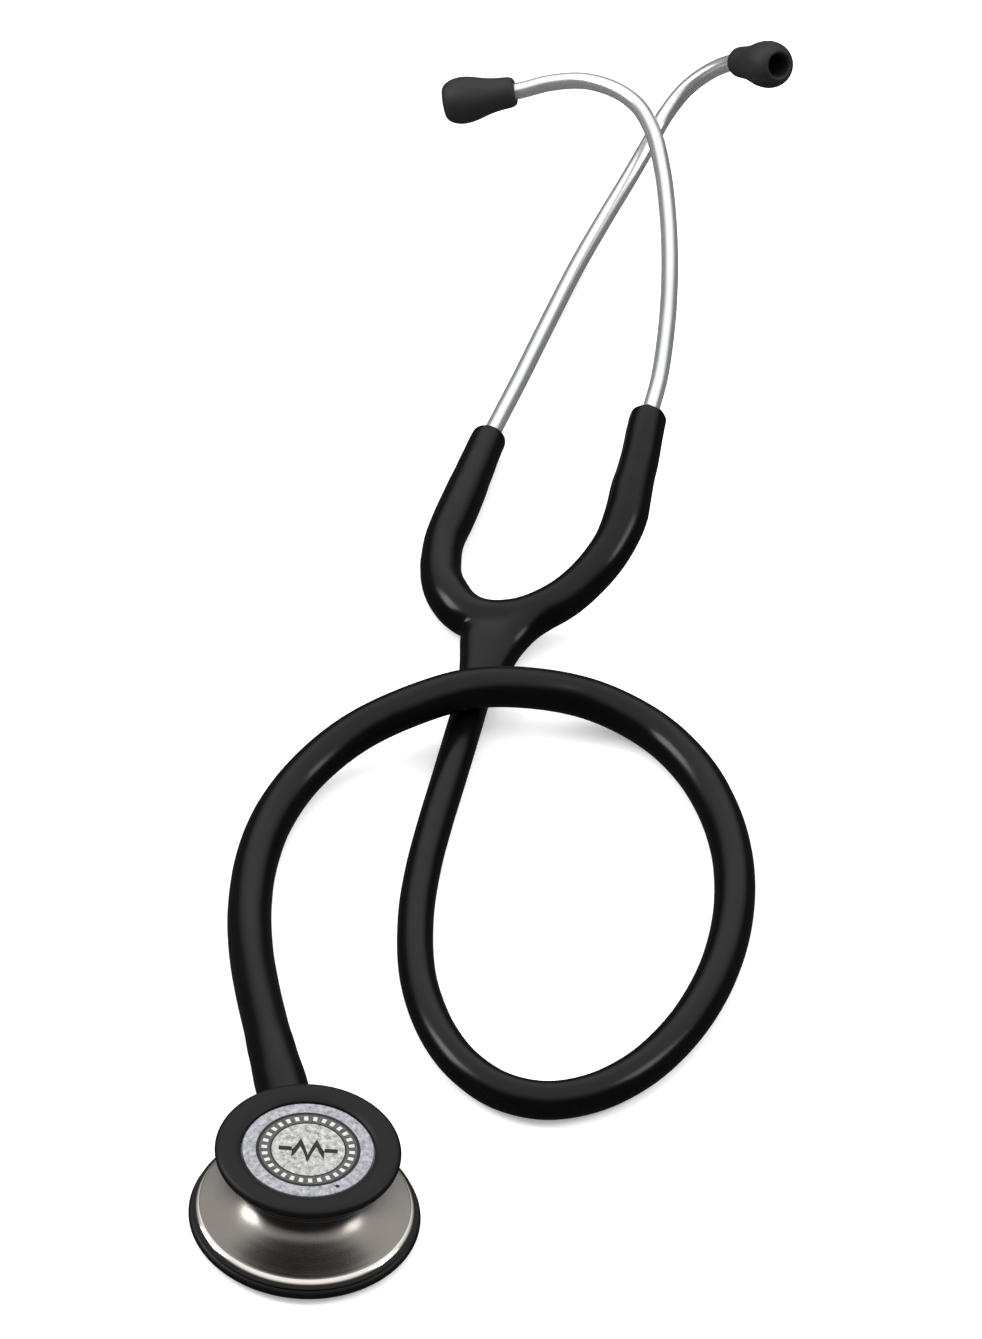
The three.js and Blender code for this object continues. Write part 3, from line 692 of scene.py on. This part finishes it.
def printed_diaphragm(name):
    """Silver print with a cast grain, under a clear stiff film."""
    finish = Finish(name, Specular_IOR_Level=0.15, Coat_Weight=0.04, Coat_Roughness=0.25)
    place = finish.place()
    x, y = (
        finish.node("ShaderNodeSeparateXYZ", None, {0: place}, output=axis) * 1000.0 for axis in range(2)
    )
    reach = (x * x + y * y) ** 0.5
    turn = finish.node("ShaderNodeMath", {"operation": "ARCTAN2"}, {0: y, 1: x})
    grain = finish.noise(1500.0, 3.0, 0.65)
    mottle = (finish.noise(900.0, 4.0, 0.8) - 0.5) * 3.2 + 0.5
    outer_ring = abs(reach - OUTER_RING) < 0.32
    inner_ring = abs(reach - 7.35) < 0.16
    band = (reach < 9.8) * (reach > 7.4)
    step = finish.node("ShaderNodeMath", {"operation": "COSINE"}, {0: turn * PIPS})
    pips = (abs(reach - PIP_RING) < 0.55) * (step > 0.15)
    swing = finish.node("ShaderNodeMath", {"operation": "PINGPONG"}, {0: x + BEAT_REACH, 1: 1.6}) - 0.8
    beat = (abs(x) < BEAT_REACH) * swing * (1.6 + abs(x) * -0.25) * 2.0
    pulse = (abs(y - beat) < 0.55 + (abs(x) < BEAT_REACH) * 0.55) * (abs(x) < PULSE_REACH)
    rivet = ((x - 6.3) * (x - 6.3) + (y + 9.6) * (y + 9.6)) ** 0.5 < 0.42
    silver = finish.blend(mottle, (0.15, 0.15, 0.165), (0.42, 0.425, 0.46))
    disc = finish.blend(mottle * 0.7 + grain * 0.3, (0.08, 0.08, 0.077), (0.62, 0.615, 0.59))
    colour = finish.blend(reach > OUTER_RING, disc, silver)
    colour = finish.blend(band * 0.85, colour, (0.03, 0.03, 0.03))
    colour = finish.blend(pips * 0.85, colour, (0.60, 0.595, 0.57))
    ink = outer_ring
    for mark in (inner_ring, pulse, rivet):
        ink = finish.node("ShaderNodeMath", {"operation": "MAXIMUM"}, {0: ink, 1: mark})
    finish.feed("Base Color", finish.blend(ink, colour, (0.012, 0.012, 0.013)))
    finish.feed("Metallic", 0.35 * (1 - ink))
    finish.feed("Roughness", 0.38 + grain * 0.2)
    finish.relief(mottle - ink * 0.6, 0.18, 0.00006)
    return finish.material


LARGE_FACE_SHOULDER = [(6.0, 0.0), (17.5, 0.0), (17.9, 0.08), (18.05, 0.3)]
LARGE_FACE_EDGE = [(18.05, 0.75), (20.2, 0.75), (20.2, 1.1), (17.5, 1.1), (17.2, 0.8), (0, 0.8)]
SMALL_FACE_EDGE = [(0, 19.5), (12.4, 19.5), (12.7, 18.8), (14.75, 18.8), (14.75, 19.2), (12.9, 19.2)]
SMALL_FACE_SHOULDER = [(12.9, 19.8), (12.86, 20.0), (12.6, 20.1), (6.0, 20.1)]
large_outline = [(0, 0.0)] + rounded_outline(LARGE_FACE_SHOULDER, 4) + LARGE_FACE_EDGE
small_outline = SMALL_FACE_EDGE + rounded_outline(SMALL_FACE_SHOULDER, 4) + [(0, 20.1)]
large_face = turned("large_diaphragm_disc", large_outline, 128)
small_face = turned("small_diaphragm_disc", small_outline, 128)
for disc, material, node, body_name, slot in (
    (large_face, dark_diaphragm("large_face_film"), "large_diaphragm", "large_face", "dark_face"),
    (small_face, printed_diaphragm("small_face_print"), "small_diaphragm", "small_face", "silver_face"),
):
    take_up(disc)
    bpy.ops.object.shade_smooth_by_angle(angle=math.radians(30))
    painted(disc, material)
    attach(disc, body_name)
    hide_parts(node)

# ---------------------------------------------------------------------------
# Stage. A plain white table with a faint painted glow that washes out its shadows,
# soft light from above and the left, and a long lens that looks down along the table.

bpy.ops.object.select_all(action="DESELECT")
bpy.ops.mesh.primitive_plane_add(size=12.0, location=(0.03, 0.16, 0.0))
table = bpy.context.object
table.name = "table"
# The table glows faintly: painted light that washes the shadows on it out to white and lights the object a
# little from below.
white = Finish("glowing_white_table", Specular_IOR_Level=0.1, Emission_Color=(1.0, 1.0, 1.0, 1.0),
               Emission_Strength=0.35)
tone = white.noise(3.0, 2.0, 0.5)
white.feed("Base Color", white.blend(tone, (0.90, 0.90, 0.90), (0.92, 0.92, 0.92)))
white.feed("Roughness", 0.8 + tone * 0.05)
painted(table, white.material)
table.visible_glossy = False


def softbox(name, place, size, power):
    """A soft square lamp that faces the middle of the object."""
    bpy.ops.object.light_add(type="AREA", location=place)
    lamp = bpy.context.object
    lamp.name = name
    lamp.data.shape = "RECTANGLE"
    lamp.data.size = size[0]
    lamp.data.size_y = size[1]
    lamp.data.energy = power
    lamp.rotation_euler = (Vector((0.03, 0.15, 0.0)) - Vector(place)).to_track_quat("-Z", "Y").to_euler()


softbox("left_softbox", (-1.5, 0.3, 1.05), (0.8, 0.7), 22.0)
softbox("right_softbox", (1.5, 0.1, 1.2), (0.7, 0.6), 10.0)


class Studio(Finish):
    """The room around the stage, bright above and behind, dark on the near side and below."""

    def __init__(self, name, brightness):
        self.world = bpy.data.worlds.new(name)
        self.world.use_nodes = True
        self.tree = self.world.node_tree
        self.shader = self.tree.nodes["Background"]
        way = self.node("ShaderNodeTexCoord", output="Generated")
        y, z = (self.node("ShaderNodeSeparateXYZ", None, {0: way}, output=axis) for axis in (1, 2))
        falling = [(0.42, (0.03, 0.03, 0.03)), (0.8, (1.0, 1.0, 1.0))]
        self.feed("Color", self.node("ShaderNodeValToRGB", {"stops": falling}, {"Fac": y * 0.25 + z}))
        self.shader.inputs["Strength"].default_value = brightness


bpy.context.scene.world = Studio("studio", 1.9).world
bpy.context.scene.view_settings.view_transform = "Standard"

# The camera's sensor is as high as the frame of 1339, and its lens reaches 10180 on the same scale.
LOOK_DOWN = math.radians(41.92)
ROLL = math.radians(4.0)
SENSOR = 36.0
forward = Vector((0.0, math.cos(LOOK_DOWN), -math.sin(LOOK_DOWN)))
level = Vector((1.0, 0.0, 0.0))
upright = level.cross(forward)
right = level * math.cos(ROLL) + upright * math.sin(ROLL)
up = upright * math.cos(ROLL) - level * math.sin(ROLL)
bpy.ops.object.camera_add(location=(0.0291, -1.4163, 1.4209))
camera = bpy.context.object
camera.rotation_euler = Matrix((right, up, -forward)).transposed().to_euler()
camera.data.sensor_fit = "VERTICAL"
camera.data.sensor_height = SENSOR
camera.data.sensor_width = SENSOR
camera.data.lens = SENSOR * 10180.0 / 1339.0
camera.data.clip_start = 0.1
camera.data.clip_end = 30.0
bpy.context.scene.camera = camera
